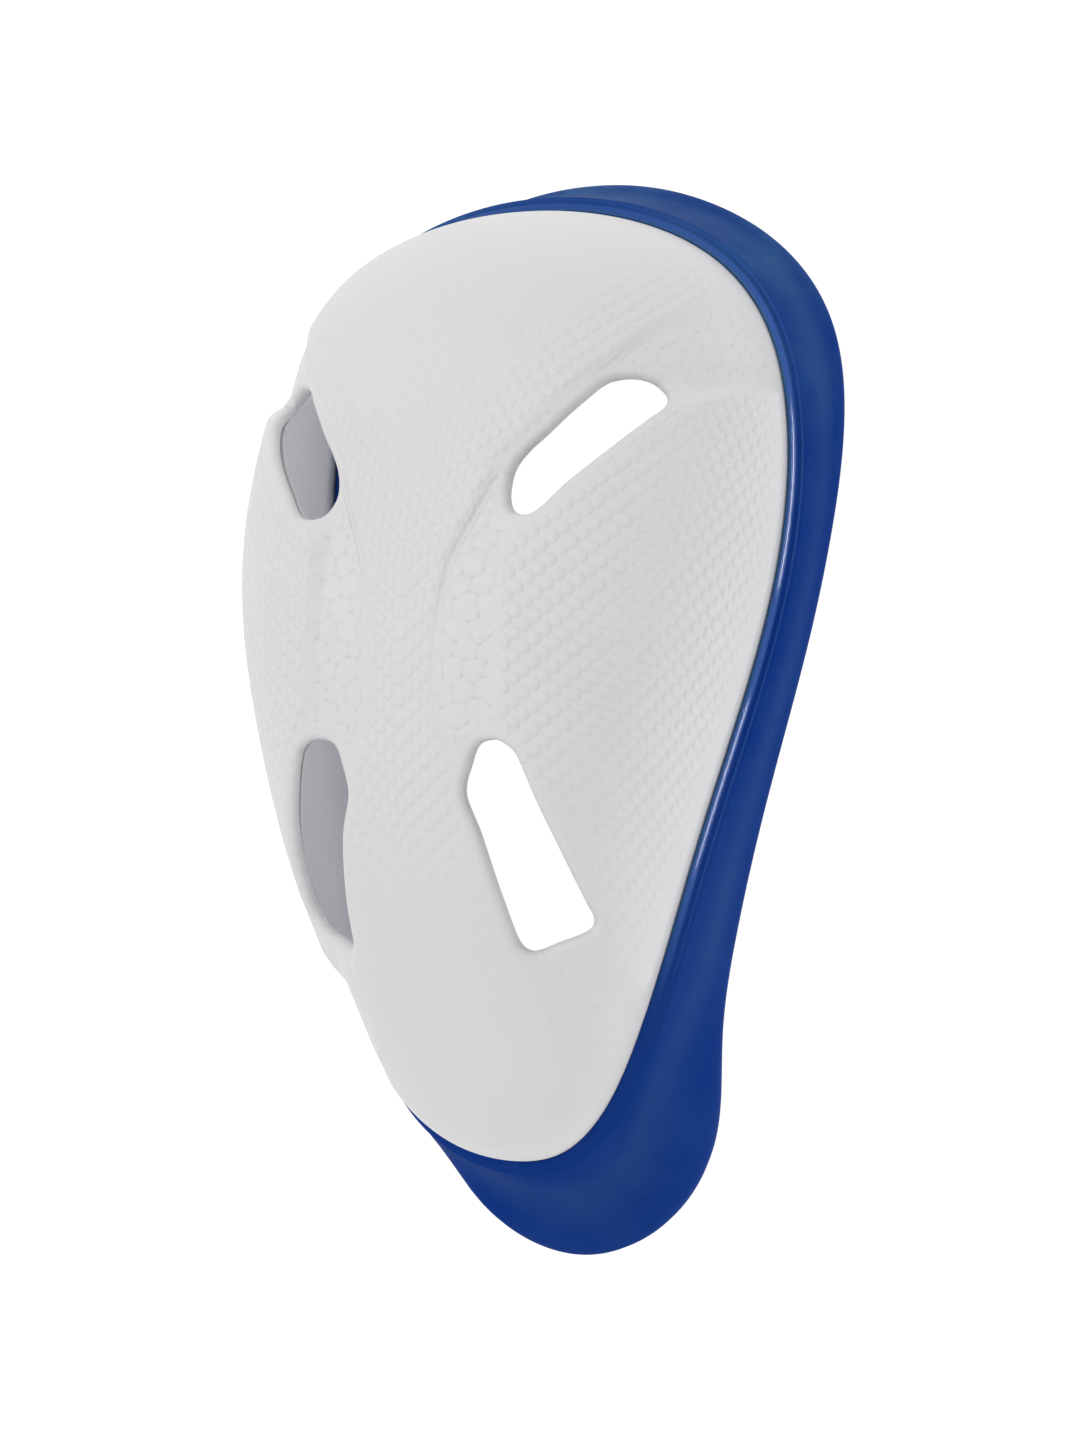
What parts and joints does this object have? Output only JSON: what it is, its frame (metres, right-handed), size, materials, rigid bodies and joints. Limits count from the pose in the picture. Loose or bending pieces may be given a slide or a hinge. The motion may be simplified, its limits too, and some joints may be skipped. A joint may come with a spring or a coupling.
{
  "type": "abdominal guard",
  "caption": "Pear-shaped hard protective cup with raised cheeks, vent slots and a dotted skin, set in a soft flared rim pad.",
  "frame": {"origin": "under the middle of the bounding box, on the plane that the rim pad's back rests on", "axes": "+Z out of the guard's front, away from the wearer; +Y towards the waist end, the lower end points along -Y; +X towards the wearer's left"},
  "size_m": [0.0888, 0.1682, 0.0637],
  "materials": {
    "shell_plastic": "satin white injection moulding with small raised dots on the panels and larger scales in the valleys",
    "rim_rubber": "glossy soft blue moulding"
  },
  "bodies": {
    "root": {"cup_shell": "shell_plastic", "rim_pad": "rim_rubber"}
  },
  "joints": []
}
